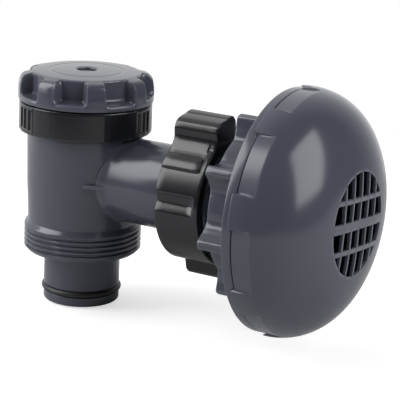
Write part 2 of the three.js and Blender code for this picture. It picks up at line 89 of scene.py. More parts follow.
def fromSpace(about, spot):
    if about == "stem":
        x, y = spot.x / mm - stemX, spot.y / mm
        return math.atan2(y, x) % math.tau, math.hypot(x, y), spot.z / mm
    y, z = -spot.y / mm, spot.z / mm
    return math.atan2(y, z) % math.tau, math.hypot(y, z), spot.x / mm


def blend(a, b, part):
    return a + (b - a) * part


def smoothStep(low, high, value):
    part = min(max((value - low) / (high - low), 0.0), 1.0)
    return part * part * (3 - 2 * part)


def offMiddle(angle, middle, repeats):
    # degrees from the nearest of the repeated middles
    period = 360 / repeats
    return (math.degrees(angle) - middle + period / 2) % period - period / 2


def rounded(corners, closed=True, steps=4):
    # corners are (across, along) or (across, along, rounding); rounding is how far back it starts
    count = len(corners)
    points = []
    for i, corner in enumerate(corners):
        here = Vector(corner[:2])
        if len(corner) < 3 or (not closed and i in (0, count - 1)):
            points.append(tuple(here))
            continue
        before = Vector(corners[i - 1][:2]) - here
        after = Vector(corners[(i + 1) % count][:2]) - here
        reach = min(corner[2], before.length * 0.49, after.length * 0.49)
        start, end = here + before.normalized() * reach, here + after.normalized() * reach
        for k in range(steps + 1):
            part = k / steps
            points.append(tuple(start.lerp(here, part).lerp(here.lerp(end, part), part)))
    return points


def evenly(points, count):
    # the same open line with count points at equal spacing
    spots = [Vector(p) for p in points]
    lengths = [0.0]
    for a, b in zip(spots, spots[1:]):
        lengths.append(lengths[-1] + (b - a).length)
    placed, place = [], 0
    for k in range(count):
        want = lengths[-1] * k / (count - 1)
        while place < len(spots) - 2 and lengths[place + 1] < want:
            place += 1
        part = (want - lengths[place]) / max(lengths[place + 1] - lengths[place], 1e-9)
        placed.append(tuple(spots[place].lerp(spots[place + 1], min(part, 1.0))))
    return placed


def upright(across, start, end, step):
    # points along a straight wall, without its two ends
    count = max(2, round(abs(end - start) / step))
    return [(across, start + (end - start) * k / count) for k in range(1, count)]


def ringOutline(corners, repeats, count, soften):
    # corners are (degrees, radius) for one repeat; gives count (angle, radius) at equal spacing,
    # with the corners softened over that many mm
    fine = 1440
    turned = [(d + 360 * r / repeats, radius) for r in range(repeats) for d, radius in corners]
    turned.append((turned[0][0] + 360, turned[0][1]))
    line, place = [], 0
    for k in range(fine + 1):
        degrees = turned[0][0] + 360 * k / fine
        while place < len(turned) - 2 and turned[place + 1][0] <= degrees:
            place += 1
        (a, low), (b, high) = turned[place], turned[place + 1]
        radius = blend(low, high, min((degrees - a) / max(b - a, 1e-6), 1.0))
        angle = math.radians(degrees)
        line.append((radius * math.sin(angle), radius * math.cos(angle)))
    line = evenly(line, count * 3 + 1)[:-1]
    gap = (Vector(line[1]) - Vector(line[0])).length
    reach = max(1, round(soften / gap / 2))
    for _ in range(2):
        total = len(line)
        around = range(-reach, reach + 1)
        line = [
            tuple(sum((Vector(line[(k + j) % total]) for j in around), Vector((0, 0))) / len(around))
            for k in range(total)
        ]
    return [(math.atan2(x, y) % math.tau, math.hypot(x, y)) for x, y in line[::3]]


def spun(outline, about, steps=128, closed=True, merge=True):
    # turns an outline right round its axis: one sixteenth by spin, then doubled four times
    bm = bmesh.new()
    verts = [bm.verts.new(toSpace(about, 0, across, along)) for across, along in outline]
    ends = verts[1:] + verts[:1] if closed else verts[1:]
    edges = [bm.edges.new(pair) for pair in zip(verts, ends)]
    axis = Vector((0, 0, 1) if about == "stem" else (1, 0, 0))
    centre = toSpace(about, 0, 0, 0)
    bmesh.ops.spin(
        bm, geom=verts + edges, cent=centre, axis=axis, dvec=(0, 0, 0),
        angle=math.tau / 16, steps=steps // 16, use_merge=False, use_duplicate=False,
    )
    for sixteenths in (1, 2, 4, 8):
        copied = bmesh.ops.duplicate(bm, geom=bm.verts[:] + bm.edges[:] + bm.faces[:])["geom"]
        turned = [part for part in copied if isinstance(part, bmesh.types.BMVert)]
        matrix = Matrix.Rotation(math.tau / 16 * sixteenths, 3, axis)
        bmesh.ops.rotate(bm, verts=turned, cent=centre, matrix=matrix)
    if merge:
        bmesh.ops.remove_doubles(bm, verts=bm.verts, dist=1e-6)
    return bm


def reshape(bm, about, move):
    # move(angle, across, along) gives each vertex's new three
    for vert in bm.verts:
        vert.co = toSpace(about, *move(*fromSpace(about, vert.co)))
    return bm


def helix(angle, along, start, end, pitch, depth, lead=1.0):
    # how deep a right-handed thread is cut here, easing in and out at its two ends
    phase = (along / pitch - angle / math.tau) % 1.0
    cut = 1 - smoothStep(0.16, 0.36, abs(phase - 0.5))
    fade = smoothStep(start, start + lead, along) * (1 - smoothStep(end - lead, end, along))
    return depth * cut * fade


def markEdgeHighlight(bm):
    # how much painted highlight each sharp outer edge gets, kept on the vertices for the materials to read
    layer = bm.verts.layers.float.new("edgeHighlight")
    for vert in bm.verts:
        bends = [e.calc_face_angle_signed(0.0) for e in vert.link_edges if len(e.link_faces) == 2]
        vert[layer] = smoothStep(math.radians(6), math.radians(24), max(bends, default=0.0))


def combine(target, other):
    mesh = bpy.data.meshes.new("passing")
    other.to_mesh(mesh)
    other.free()
    target.from_mesh(mesh)
    bpy.data.meshes.remove(mesh)
    return target


def carve(base, tools):
    # tools are (bmesh, "UNION" or "DIFFERENCE"), worked one after another
    holders = []
    for bm in [base] + [tool for tool, how in tools]:
        bmesh.ops.recalc_face_normals(bm, faces=bm.faces)
        mesh = bpy.data.meshes.new("passing")
        bm.to_mesh(mesh)
        bm.free()
        holders.append(bpy.data.objects.new("passing", mesh))
        bpy.context.scene.collection.objects.link(holders[-1])
    for holder, (tool, how) in zip(holders[1:], tools):
        step = holders[0].modifiers.new("cut", "BOOLEAN")
        step.operation, step.solver, step.object = how, "EXACT", holder
    graph = bpy.context.evaluated_depsgraph_get()
    done = bpy.data.meshes.new_from_object(holders[0].evaluated_get(graph))
    result = bmesh.new()
    result.from_mesh(done)
    for mesh in [holder.data for holder in holders] + [done]:
        bpy.data.meshes.remove(mesh)
    return result


def finishPiece(node, bm, finish, sharp=42):
    bmesh.ops.remove_doubles(bm, verts=bm.verts, dist=1e-7)
    bmesh.ops.recalc_face_normals(bm, faces=bm.faces)
    markEdgeHighlight(bm)
    mesh = bpy.data.meshes.new(node + "_detail")
    bm.to_mesh(mesh)
    bm.free()
    mesh.shade_smooth()
    mesh.set_sharp_from_angle(angle=math.radians(sharp))
    mesh.materials.append(finishes[finish])
    piece = bpy.data.objects.new(node + "_detail", mesh)
    bpy.context.scene.collection.objects.link(piece)
    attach(piece, frame["nodes"][node]["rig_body"])
    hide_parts(node)
    return piece


def plastic(look):
    # moulded material: faint flow marks, fine grain, and a painted highlight that makes sharp outer edges
    # paler
    material = bpy.data.materials.new(look["name"])
    material.use_nodes = True
    nodes, links = material.node_tree.nodes, material.node_tree.links
    shader = nodes["Principled BSDF"]
    shader.inputs["IOR"].default_value = look["ior"]
    shader.inputs["Metallic"].default_value = look.get("metallic", 0.0)
    place = nodes.new("ShaderNodeTexCoord")
    flow, grain = nodes.new("ShaderNodeTexNoise"), nodes.new("ShaderNodeTexNoise")
    for noise, scale, detail in ((flow, "flowScale", 4), (grain, "grainScale", 2)):
        noise.inputs["Scale"].default_value = look[scale]
        noise.inputs["Detail"].default_value = detail
        links.new(place.outputs["Object"], noise.inputs["Vector"])

    # the first mix varies the tone at random; the second paints the edge highlight over it
    tone, highlighted = nodes.new("ShaderNodeMix"), nodes.new("ShaderNodeMix")
    for mix in (tone, highlighted):
        mix.data_type = "RGBA"
    tone.inputs["A"].default_value = (*look["dark"], 1)
    tone.inputs["B"].default_value = (*look["light"], 1)
    highlighted.inputs["B"].default_value = (*look["highlightTint"], 1)
    links.new(flow.outputs["Fac"], tone.inputs["Factor"])
    links.new(tone.outputs["Result"], highlighted.inputs["A"])
    links.new(highlighted.outputs["Result"], shader.inputs["Base Color"])

    # painted highlight: sharp outer edges are mixed towards the paler highlight colour
    edgeHighlight = nodes.new("ShaderNodeAttribute")
    edgeHighlight.attribute_name = "edgeHighlight"
    patchyHighlight = nodes.new("ShaderNodeMapRange")  # makes the painted edge highlight uneven
    patchyHighlight.inputs["From Min"].default_value = 0.35
    patchyHighlight.inputs["From Max"].default_value = 0.65
    patchyHighlight.inputs["To Min"].default_value = look["edgeHighlight"] * 0.4
    patchyHighlight.inputs["To Max"].default_value = look["edgeHighlight"]
    links.new(flow.outputs["Fac"], patchyHighlight.inputs["Value"])
    amount = nodes.new("ShaderNodeMath")
    amount.operation = "MULTIPLY"
    links.new(edgeHighlight.outputs["Fac"], amount.inputs[0])
    links.new(patchyHighlight.outputs["Result"], amount.inputs[1])
    links.new(amount.outputs["Value"], highlighted.inputs["Factor"])

    rough = nodes.new("ShaderNodeMapRange")
    rough.inputs["From Min"].default_value = 0.3
    rough.inputs["From Max"].default_value = 0.7
    rough.inputs["To Min"].default_value = look["roughness"] - look["roughSpread"]
    rough.inputs["To Max"].default_value = look["roughness"] + look["roughSpread"]
    links.new(flow.outputs["Fac"], rough.inputs["Value"])
    links.new(rough.outputs["Result"], shader.inputs["Roughness"])
    bump = nodes.new("ShaderNodeBump")
    bump.inputs["Strength"].default_value = look["grain"]
    bump.inputs["Distance"].default_value = look["grainDepth"]
    links.new(grain.outputs["Fac"], bump.inputs["Height"])
    links.new(bump.outputs["Normal"], shader.inputs["Normal"])
    return material


# each finish's paler highlight colour and its amount set the painted edge highlight
finishes = {
    "grey_plastic": plastic({
        "name": "greyPlastic", "dark": (0.066, 0.071, 0.096), "light": (0.072, 0.077, 0.104),
        "highlightTint": (0.20, 0.21, 0.25), "edgeHighlight": 0.35, "roughness": 0.18, "roughSpread": 0.03, "ior": 1.5,
        "flowScale": 24.0, "grainScale": 1800.0, "grain": 0.12, "grainDepth": 0.00005,
    }),
    "black_plastic": plastic({
        "name": "blackPlastic", "dark": (0.008, 0.0085, 0.011), "light": (0.011, 0.0115, 0.0145),
        "highlightTint": (0.09, 0.095, 0.11), "edgeHighlight": 0.3, "roughness": 0.2, "roughSpread": 0.03, "ior": 1.5,
        "flowScale": 45.0, "grainScale": 1500.0, "grain": 0.2, "grainDepth": 0.0001,
    }),
    "rubber": plastic({
        "name": "blackRubber", "dark": (0.010, 0.010, 0.011), "light": (0.018, 0.018, 0.019),
        "highlightTint": (0.04, 0.04, 0.04), "edgeHighlight": 0.3, "roughness": 0.42, "roughSpread": 0.08, "ior": 1.5,
        "flowScale": 70.0, "grainScale": 1300.0, "grain": 0.3, "grainDepth": 0.0001,
    }),
    "hard_washer": plastic({
        "name": "paleWasher", "dark": (0.58, 0.58, 0.54), "light": (0.68, 0.68, 0.64),
        "highlightTint": (0.78, 0.78, 0.75), "edgeHighlight": 0.4, "roughness": 0.4, "roughSpread": 0.06, "ior": 1.5,
        "flowScale": 60.0, "grainScale": 1600.0, "grain": 0.2, "grainDepth": 0.0001,
    }),
    "steel": plastic({
        "name": "stainless", "dark": (0.44, 0.45, 0.46), "light": (0.58, 0.59, 0.60),
        "highlightTint": (0.75, 0.75, 0.75), "edgeHighlight": 0.5, "roughness": 0.26, "roughSpread": 0.08, "ior": 2.5,
        "metallic": 1.0, "flowScale": 260.0, "grainScale": 3000.0, "grain": 0.2, "grainDepth": 0.00005,
    }),
}
print("materials made")


# strainer connector: flange, snap ring and threaded tail

connector = {
    "bore": 18.4, "tail": 27.2, "tailEnd": -42.4, "flange": 58.95, "thick": 5.0,
    "snapOuter": 56.9, "snapInner": 54.5, "snapTop": 9.0,
    "pitch": 3.2, "threadDepth": 1.0, "threadEnd": -2.5, "ease": 0.6,
}


def buildConnector():
    c = connector
    outline = rounded([
        (c["bore"], c["tailEnd"], 0.5), (c["tail"], c["tailEnd"], 0.9),
        *upright(c["tail"], c["tailEnd"] + 1.2, c["threadEnd"], 0.4),
        (c["tail"], 0, 0.5), (c["flange"], 0, c["ease"]), (c["flange"], c["thick"], c["ease"]),
        (c["snapOuter"], c["thick"], 0.3), (c["snapOuter"], c["snapTop"], 0.6),
        (c["snapInner"], c["snapTop"], 0.4), (c["snapInner"], c["thick"], 0.4),
        (c["bore"], c["thick"], 1.0),
    ])

    def thread(angle, across, along):
        if abs(across - c["tail"]) < 0.01:
            across -= helix(angle, along, c["tailEnd"] + 0.8, c["threadEnd"], c["pitch"], c["threadDepth"])
        return angle, across, along

    bm = reshape(spun(outline, "strainer", 160), "strainer", thread)
    finishPiece("strainer_connector", bm, "grey_plastic")


buildConnector()
print("connector made")

# strainer dome: smooth cap, eight cut-aways round its rim, and the grille

dome = {
    "radius": 60.2, "height": 35.8, "wall": 2.4, "rim": 5.3, "flush": 58.95,
    "lipReach": 1.7, "lipWall": 0.7,
    "windows": 8, "windowSweep": 30.0, "windowMiddle": 10.5, "windowSide": 0.45,
    "grille": 24.9, "grilleEdge": 26.2, "capRadius": 27.4, "grilleTurn": 4.7,
    "columns": 7.8, "columnBar": 1.2, "rows": 12.0, "rowBar": 2.2, "middleBar": 4.4,
    "slotCorner": 0.7, "slotEase": 0.3, "barDepth": 1.5,
    "seam": 0.3, "foldThick": 0.1, "foldLean": 0.002, "flat": 0.9, "flatRadius": 42.0, "capSides": 240,
    # more cuts across the grille, so that its bars follow the dome's curve
    "columnCuts": [-19.5, -11.7, -3.9, 3.9, 11.7, 19.5], "rowCuts": [-20.5, -16.5, -6.5, 0, 6.5, 16.5, 20.5],
    "steps": 480,
}


def flattening(radius):
    # the cap is a little flatter in the middle than its curve
    return dome["flat"] * (1 - smoothStep(0, dome["flatRadius"], radius))


def domeX(radius, inner=False):
    # where the dome's outer or inner surface stands at this radius
    shrink = dome["wall"] if inner else 0.0
    share = min(radius / (dome["radius"] - shrink), 1.0)
    rise = (dome["height"] - shrink) * (1 - share ** (2 / 0.692)) ** (0.963 / 2)
    return dome["rim"] + rise - flattening(radius)


def domeOutline():
    outer, inner = [], []
    steps = 90
    for k in range(steps + 1):
        for line, shrink, every in ((outer, 0.0, 1), (inner, dome["wall"], 2)):
            turn = k / steps * math.pi / 2
            radius = (dome["radius"] - shrink) * math.cos(turn) ** 0.692
            if radius > dome["capRadius"] + 0.3 and k % every == 0:
                rise = (dome["height"] - shrink) * math.sin(turn) ** 0.963
                line.append((radius, dome["rim"] + rise - flattening(radius)))
    outer.append((dome["capRadius"], domeX(dome["capRadius"])))
    inner.append((dome["capRadius"], domeX(dome["capRadius"], inner=True)))
    lip, lipInner = dome["rim"] - dome["lipReach"], dome["radius"] - dome["lipWall"]
    edge = rounded([
        (lipInner, dome["rim"] - 0.2), (lipInner, lip, 0.15),
        (dome["radius"], lip, 0.3), (dome["radius"], dome["rim"] - 0.6),
    ], closed=False)
    return inner[::-1] + edge + outer


def windowAngle(angle):
    # crowds the spin's steps where the cut-aways' sides stand
    period = math.tau / dome["windows"]
    start = math.radians(dome["windowMiddle"])
    part = ((angle - start) / period) % 1.0
    side = dome["windowSweep"] / 720 * dome["windows"]
    off = min(part, 1 - part)
    off += (side - off) * math.exp(-(((off - side) / 0.05) ** 2)) * 0.75
    return start + period * (math.floor((angle - start) / period) + (off if part < 0.5 else 1 - off))


def cutWindows(angle, across, along):
    angle = windowAngle(angle)
    half = dome["windowSweep"] / 2
    off = abs(offMiddle(angle, dome["windowMiddle"], dome["windows"]))
    share = 1 - smoothStep(half - dome["windowSide"], half, off)
    lip = dome["rim"] - dome["lipReach"]
    flatAcross, flatAlong = across, along
    if along < dome["rim"] + 14 and across > dome["flush"] - 0.5:
        flatAcross = min(across, dome["flush"])
        if along < dome["rim"]:  # the lip folds back onto the rim's face
            part = (across - dome["radius"] + dome["lipWall"]) / dome["lipWall"]
            flatAcross = dome["flush"] - dome["foldThick"] * (1 - min(max(part, 0), 1))
            flatAlong = dome["rim"] + dome["foldLean"] * (along - lip)
        flatAlong = max(flatAlong, dome["rim"] + dome["seam"] + dome["foldLean"] * (along - lip))
    return angle, blend(across, flatAcross, share), blend(along, flatAlong, share)


def barLines(pitch, bar, lines, extra):
    edges = [k * pitch + side * bar / 2 for k in lines for side in (-1, 1)]
    return edges + extra


def grilleCap():
    # a flat disc cut along every bar's edges, with the slots taken out, before it gets its curve
    bm = bmesh.new()
    bmesh.ops.create_circle(bm, cap_ends=True, segments=dome["capSides"], radius=dome["grille"])
    upLines = barLines(dome["columns"], dome["columnBar"], range(-2, 3), dome["columnCuts"])
    levels = barLines(dome["rows"], dome["rowBar"], (-1, 1), dome["rowCuts"])
    levels += [-dome["middleBar"] / 2, dome["middleBar"] / 2]
    for places, way in ((upLines, Vector((1, 0, 0))), (levels, Vector((0, 1, 0)))):
        for place in places:
            parts = bm.verts[:] + bm.edges[:] + bm.faces[:]
            bmesh.ops.bisect_plane(bm, geom=parts, dist=1e-5, plane_co=way * place, plane_no=way)
    rim = bmesh.ops.extrude_edge_only(bm, edges=[e for e in bm.edges if e.is_boundary])
    for vert in (g for g in rim["geom"] if isinstance(g, bmesh.types.BMVert)):
        vert.co *= dome["grilleEdge"] / dome["grille"]
    slots = []
    for face in bm.faces:
        middle = face.calc_center_median()
        column = abs(middle.x - dome["columns"] * min(max(round(middle.x / dome["columns"]), -2), 2))
        row = abs(abs(middle.y) - dome["rows"])
        onBar = column < dome["columnBar"] / 2 or row < dome["rowBar"] / 2
        onMiddle = abs(middle.y) < dome["middleBar"] / 2
        if not onBar and not onMiddle and middle.length < dome["grille"] - 0.01:
            slots.append(face)
    bmesh.ops.delete(bm, geom=slots, context="FACES")
    made = bmesh.ops.extrude_face_region(bm, geom=bm.faces[:], use_keep_orig=True)
    sunk = [g for g in made["geom"] if isinstance(g, bmesh.types.BMVert)]
    bmesh.ops.translate(bm, verts=sunk, vec=(0, 0, -1))
    bmesh.ops.recalc_face_normals(bm, faces=bm.faces)
    outerWall = [
        f for f in bm.faces
        if abs(f.normal.z) < 0.5 and f.calc_center_median().to_2d().length > dome["grilleEdge"] - 0.1
    ]
    bmesh.ops.delete(bm, geom=outerWall, context="FACES")
    corners = [
        e for e in bm.edges
        if abs(e.verts[0].co.z - e.verts[1].co.z) > 0.5
        and len(e.link_faces) == 2 and e.calc_face_angle(0.0) > 0.9
    ]
    bmesh.ops.bevel(
        bm, geom=corners, offset=dome["slotCorner"], affect="EDGES", segments=3, profile=0.5,
        material=-1, clamp_overlap=True,
    )
    front = [
        e for e in bm.edges
        if len(e.link_faces) == 2 and min(v.co.z for v in e.verts) > -0.01 and e.calc_face_angle(0.0) > 1.0
    ]
    bmesh.ops.bevel(
        bm, geom=front, offset=dome["slotEase"], affect="EDGES", segments=2, profile=0.5,
        material=-1, clamp_overlap=True,
    )
    return bm


def curveCap(bm):
    # lays the flat cap on the dome's curve
    turn = math.radians(dome["grilleTurn"])
    for vert in bm.verts:
        x, y, level = vert.co
        radius = math.hypot(x, y)
        outer, inner = domeX(radius), domeX(radius, inner=True)
        if radius < dome["grille"] + 0.6:
            inner = outer - dome["barDepth"]
        depth = -level if level > -0.5 else 0.0  # mm of easing near the outer face
        height = outer - depth if level > -0.5 else inner
        across = x * math.cos(turn) + y * math.sin(turn)
        up = y * math.cos(turn) - x * math.sin(turn)
        vert.co = Vector((height, across, up)) * mm
    return bm


def edgeNear(bm, radius, inner):
    # the open edges round the cap or the hole it fills, on the outer or the inner surface
    middle = (domeX(radius) + domeX(radius, inner=True)) / 2 * mm
    found = []
    for edge in bm.edges:
        if edge.is_boundary and abs(edge.verts[0].co.yz.length / mm - radius) < 0.25:
            if (edge.verts[0].co.x < middle) == inner:
                found.append(edge)
    return found


def buildDome():
    shell = reshape(spun(domeOutline(), "strainer", dome["steps"], closed=False), "strainer", cutWindows)
    combine(shell, curveCap(grilleCap()))
    for inner in (False, True):
        loops = edgeNear(shell, dome["grilleEdge"], inner) + edgeNear(shell, dome["capRadius"], inner)
        bmesh.ops.bridge_loops(shell, edges=loops)
    finishPiece("strainer_dome", shell, "grey_plastic")


buildDome()
print("dome made")

# strainer nut: eight tapered teeth on a hub, clamping the pool wall

wallNut = {
    "back": -20.2, "front": -5.1, "bore": 27.7, "hub": 37.0, "tip": 46.3,
    "teeth": 8, "firstTooth": 13.8, "baseHalf": 10.2, "waistHalf": 4.6, "tipHalf": 3.0,
    "ease": 0.7, "soften": 1.2, "steps": 480,
}


def toothCorners():
    w = wallNut
    m = w["firstTooth"]
    waist, shoulder = w["hub"] + 4.8, w["tip"] - 1.6
    left = [
        (-w["baseHalf"] - 1.6, w["hub"]), (-w["baseHalf"] + 1.2, w["hub"] + 0.9),
        (-w["waistHalf"] - 0.4, waist),
    ]
    bead = [(-w["tipHalf"] - 0.5, shoulder), (-w["tipHalf"] + 0.6, w["tip"] + 0.25)]
    half = left + bead
    return [(m + d, r) for d, r in half] + [(m - d, r) for d, r in half[::-1]]


def buildWallNut():
    w = wallNut
    ring = ringOutline(toothCorners(), w["teeth"], w["steps"], w["soften"])
    outline = rounded([
        (w["bore"], w["back"], 0.5), (w["hub"] - 4, w["back"]), (w["hub"], w["back"], w["ease"]),
        *upright(w["hub"], w["back"] + 1.2, w["front"] - 1.2, 2.2),
        (w["hub"], w["front"], w["ease"]), (w["hub"] - 4, w["front"]), (w["bore"], w["front"], 0.5),
        *upright(w["bore"], w["front"] - 1, w["back"] + 1, 0.5),
    ])

    def teeth(angle, across, along):
        turn, radius = ring[round(angle / math.tau * w["steps"]) % w["steps"]]
        if across > w["hub"] - 2:
            across += radius - w["hub"]
        elif across > w["hub"] - 5:
            across += (radius - w["hub"]) * 0.2
        elif w["back"] + 0.6 < along < w["front"] - 0.6:
            # the inside thread, cut outwards from the bore
            across += 0.9 - helix(turn, along, w["back"] + 0.8, w["front"] - 0.8, connector["pitch"], 0.9)
        return turn, across, along

    bm = reshape(spun(outline, "strainer", w["steps"]), "strainer", teeth)
    finishPiece("strainer_nut", bm, "grey_plastic")


buildWallNut()
print("wall nut made")

# union nut: two grip lobes, pads between them and a plain ring at the mouth

unionNut = {
    "back": -52.0, "shoulder": -49.6, "padEnd": -31.7, "front": -28.2,
    "hole": 21.45, "bore": 27.7, "wall": 32.6, "soften": 1.0, "ease": 0.9, "steps": 480,
}
# degrees from +Z towards -Y and radius, for one half; the other half repeats it
lobeCorners = [
    (-7.0, 32.6), (-4.0, 33.3), (-1.8, 36.0), (-0.6, 39.6), (2.6, 41.8), (8.6, 41.6), (9.4, 41.2),
    (18.5, 41.8), (22.5, 41.2), (25.5, 39.3), (26.6, 37.4), (27.6, 35.8), (29.6, 34.4),
]
unionCorners = lobeCorners + [
    (32.5, 33.5), (38.0, 32.5), (43.0, 32.3), (44.2, 32.9), (50.0, 33.3), (56.2, 33.4), (57.1, 32.3),
    (58.2, 32.6), (78.0, 32.6), (79.0, 31.5), (85.8, 30.5), (87.0, 30.6), (93.2, 32.3), (94.6, 32.6),
    (164.0, 32.6), (165.2, 32.0), (172.0, 32.0),
]
unionRing = lobeCorners + [(33.5, 32.9), (38.0, 32.6), (172.0, 32.6)]


def radiusAt(corners, repeats, degrees):
    # the drawn radius at an angle, straight between corners
    span = 360 / repeats
    degrees = (degrees - corners[0][0]) % span + corners[0][0]
    line = corners + [(corners[0][0] + span, corners[0][1])]
    for (a, low), (b, high) in zip(line, line[1:]):
        if a <= degrees <= b:
            return blend(low, high, (degrees - a) / max(b - a, 1e-6))
    return line[-1][1]


def buildUnionNut():
    u = unionNut
    ring = ringOutline(unionCorners, 2, u["steps"], u["soften"])
    mouth = [radiusAt(unionRing, 2, math.degrees(turn)) for turn, radius in ring]
    smooth = [sum(mouth[(k + j) % len(mouth)] for j in (-1, 0, 1)) / 3 for k in range(len(mouth))]
    outline = rounded([
        (u["hole"], u["back"], 0.4), (u["wall"] - 4, u["back"]), (u["wall"], u["back"], u["ease"]),
        *upright(u["wall"], u["back"] + 1.2, u["padEnd"] - 0.7, 2.6),
        (u["wall"], u["padEnd"] - 0.5), (u["wall"], u["padEnd"] - 0.15),
        (u["wall"], u["padEnd"] + 0.15), (u["wall"], u["padEnd"] + 0.5), (u["wall"], u["front"] - 1.6),
        (u["wall"], u["front"], u["ease"]), (u["wall"] - 3, u["front"]), (u["bore"], u["front"], 0.4),
        *upright(u["bore"], u["front"] - 1, u["shoulder"] + 2, 0.5),
        (u["bore"], u["shoulder"], 0.3), (u["hole"], u["shoulder"], 0.3),
    ])

    def grip(angle, across, along):
        k = round(angle / math.tau * u["steps"]) % u["steps"]
        turn, radius = ring[k]
        mouthPart = smoothStep(u["padEnd"] - 0.3, u["padEnd"] + 0.3, along)
        outside = blend(radius, smooth[k], mouthPart)
        if across > u["wall"] - 2:
            across += outside - u["wall"]
        elif across > u["wall"] - 4.5 and (along < u["back"] + 0.1 or along > u["front"] - 0.1):
            across += (outside - u["wall"]) * 0.3
        elif u["shoulder"] + 1.6 < along < u["front"] - 0.6:
            across += 0.9 - helix(turn, along, u["shoulder"] + 1.8, u["front"] - 0.8, connector["pitch"], 0.9)
        return turn, across, along

    bm = reshape(spun(outline, "strainer", u["steps"]), "strainer", grip)
    finishPiece("union_nut", bm, "black_plastic")


buildUnionNut()
print("union nut made")

# valve body: barrel, hose thread, nipple with its ring groove, and the side port

body = {
    "barrel": 28.1, "bore": 25.3, "top": 29.5, "seat": -22.0, "outlet": 15.6,
    "shoulder": 21.6, "shoulderRadius": 29.1, "middle": 28.8, "foot": 28.0,
    "collar": 29.8, "collarTop": -24.8, "collarSlope": 2.1, "collarBottom": -40.4, "collarEase": 2.0,
    "pitch": 2.55, "threadDepth": 1.25, "threadFrom": -39.6, "threadTo": -27.6, "threadTurn": 92,
    "nipple": 19.35, "nippleEnd": -66.85, "ringHeight": -60.3, "grooveFloor": 17.25, "grooveHalf": 1.8,
    "topPitch": 2.8, "topThreadFrom": 23.5, "port": 21.2, "portBore": 18.4, "portEnd": -45.0,
    "portSquash": 0.955, "portCollar": 26.9, "collarFace": -47.7,
    "collarRoot": -53.5, "fillet": 0.5, "steps": 192,
    "ribFrom": (16.2, -25.2), "ribTo": (28.4, -19.6), "ribLevel": -1.0, "ribThick": 1.9,
}


def barrelRadius(height):
    # a slight draft, widest just under the lock ring
    b = body
    if height > 0:
        return blend(b["middle"], b["shoulderRadius"], height / b["shoulder"])
    return blend(b["middle"], b["foot"], smoothStep(0, -b["collarTop"], -height))


def jointRib():
    # a small moulded web across the corner between barrel and port
    b = body
    start, end = Vector(b["ribFrom"]), Vector(b["ribTo"])
    way = (end - start).normalized()
    inward = Vector((-way.y, way.x))
    middle = (start + end) / 2 + inward * 2.5
    bm = bmesh.new()
    bmesh.ops.create_cube(bm, size=1.0)
    bmesh.ops.scale(bm, verts=bm.verts, vec=((end - start).length, 5.0, b["ribThick"]))
    bmesh.ops.bevel(
        bm, geom=bm.edges[:], offset=0.55, affect="EDGES", segments=3, profile=0.5, material=-1,
        clamp_overlap=True,
    )
    bmesh.ops.rotate(bm, verts=bm.verts, matrix=Matrix.Rotation(math.atan2(way.y, way.x), 3, "Z"))
    bmesh.ops.translate(bm, verts=bm.verts, vec=(stemX + middle.x, middle.y, b["ribLevel"]))
    bmesh.ops.scale(bm, verts=bm.verts, vec=(mm, mm, mm))
    return bm


def buildBody():
    b = body
    groove = b["grooveHalf"]
    threadTop, threadFoot = b["collarTop"] - b["collarSlope"], b["collarBottom"] + b["collarEase"]
    outline = rounded([
        (b["bore"], b["top"], 0.4), (b["barrel"], b["top"], 0.5),
        *upright(b["barrel"], b["top"] - 0.6, b["topThreadFrom"] - 1, 0.35),
        (b["barrel"], b["shoulder"] + 0.2, 0.2), (b["shoulderRadius"], b["shoulder"], 0.5),
        *[(barrelRadius(z), z) for z in range(20, round(b["collarTop"]) + 1, -2)],
        (b["foot"], b["collarTop"], 0.3), (b["collar"], threadTop, 0.6),
        *upright(b["collar"], threadTop - 0.6, threadFoot + 0.2, 0.28),
        (b["collar"], threadFoot, 0.3), (b["collar"] - b["collarEase"] + 0.2, b["collarBottom"], 0.4),
        (b["nipple"], b["collarBottom"], 0.4), (b["nipple"], b["collarBottom"] - 8),
        (b["nipple"], b["ringHeight"] + groove, 0.25), (b["grooveFloor"], b["ringHeight"] + groove, 0.2),
        (b["grooveFloor"], b["ringHeight"] - groove, 0.2), (b["nipple"], b["ringHeight"] - groove, 0.25),
        (b["nipple"], b["nippleEnd"] + 0.8, 0.3), (b["nipple"] - 0.8, b["nippleEnd"], 0.3),
        (b["outlet"], b["nippleEnd"], 0.5), (b["outlet"], b["seat"], 0.8), (b["bore"], b["seat"], 0.8),
    ])

    def threads(angle, across, along):
        if abs(across - b["collar"]) < 0.01:
            turned = angle + math.radians(b["threadTurn"])
            across -= helix(turned, along, b["threadFrom"], b["threadTo"], b["pitch"], b["threadDepth"])
        elif abs(across - b["barrel"]) < 0.01 and along > b["shoulder"] + 0.8:
            across -= helix(angle, along, b["topThreadFrom"], b["top"] + 1, b["topPitch"], 0.7)
        return angle, across, along

    barrel = reshape(spun(outline, "stem", b["steps"]), "stem", threads)
    return carve(barrel, [(sidePort(), "UNION"), (jointRib(), "UNION"), (portTool(), "DIFFERENCE")])


